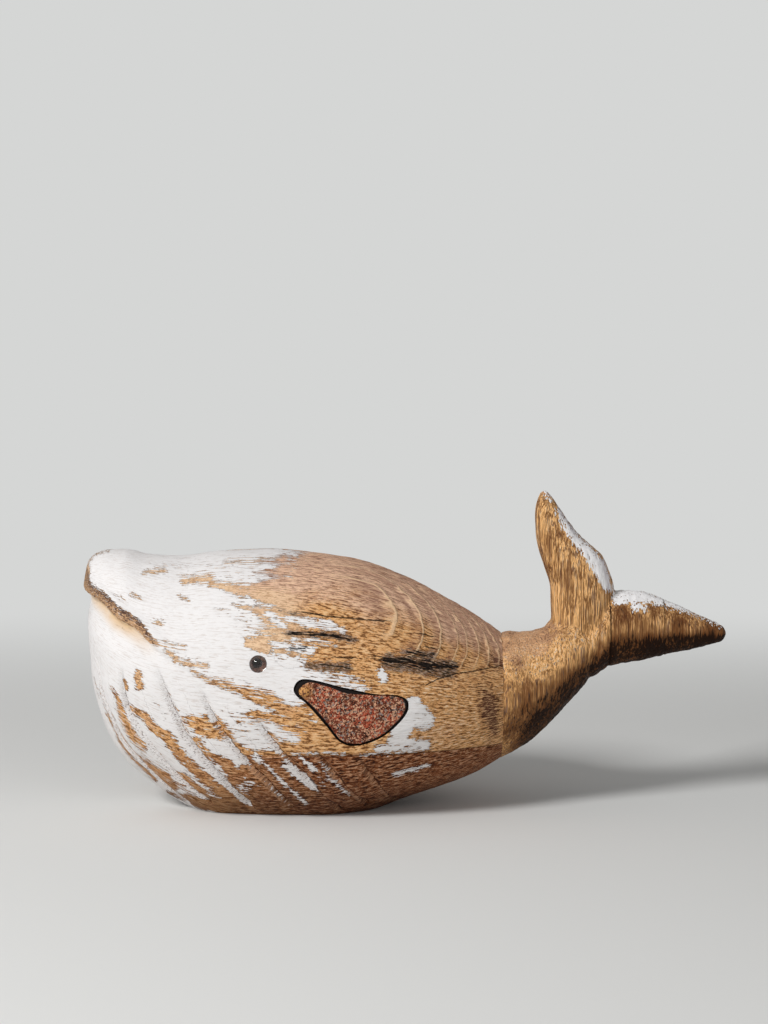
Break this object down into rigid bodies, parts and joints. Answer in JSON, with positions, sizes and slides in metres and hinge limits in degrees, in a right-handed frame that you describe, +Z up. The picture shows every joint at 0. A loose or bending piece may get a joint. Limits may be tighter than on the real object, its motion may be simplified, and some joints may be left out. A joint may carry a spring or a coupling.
{
  "type": "whale figurine",
  "caption": "Carved wooden whale ornament with a glued and dowelled raised tail, let-in rusted iron fins, glass eyes and worn white paint; stands free on its flat belly.",
  "frame": {"origin": "on the floor under the middle of the whale's overall length and width", "axes": "+X towards the tail, so the nose points to -X; +Y to the whale's right side; +Z up"},
  "size_m": [0.318, 0.1236, 0.157],
  "materials": {
    "painted_wood": "carved wood with worn white paint over bare golden brown grain",
    "tail_wood": "coarse golden brown upright grain with white paint left on the fluke edges",
    "dowel_wood": "plain turned hardwood",
    "rusted_iron": "granular red brown rust with a dark rim",
    "nail_iron": "ochre rusted nail",
    "eye_glass": "clear polished glass dome",
    "eye_enamel": "dark brown enamel with a black pupil",
    "stem_wire": "plain drawn wire"
  },
  "bodies": {
    "root": {"back_block": "painted_wood", "belly_block": "painted_wood", "tail_root_block": "tail_wood", "fluke_mid_block": "tail_wood", "fluke_tip_block": "tail_wood", "tail_dowel_left": "dowel_wood", "tail_dowel_right": "dowel_wood", "fin_left": "rusted_iron", "fin_right": "rusted_iron", "fin_nail_left": "nail_iron", "fin_nail_right": "nail_iron", "eye_glass_left": "eye_glass", "eye_glass_right": "eye_glass", "eye_iris_left": "eye_enamel", "eye_iris_right": "eye_enamel", "eye_stem_left": "stem_wire", "eye_stem_right": "stem_wire"}
  },
  "joints": []
}
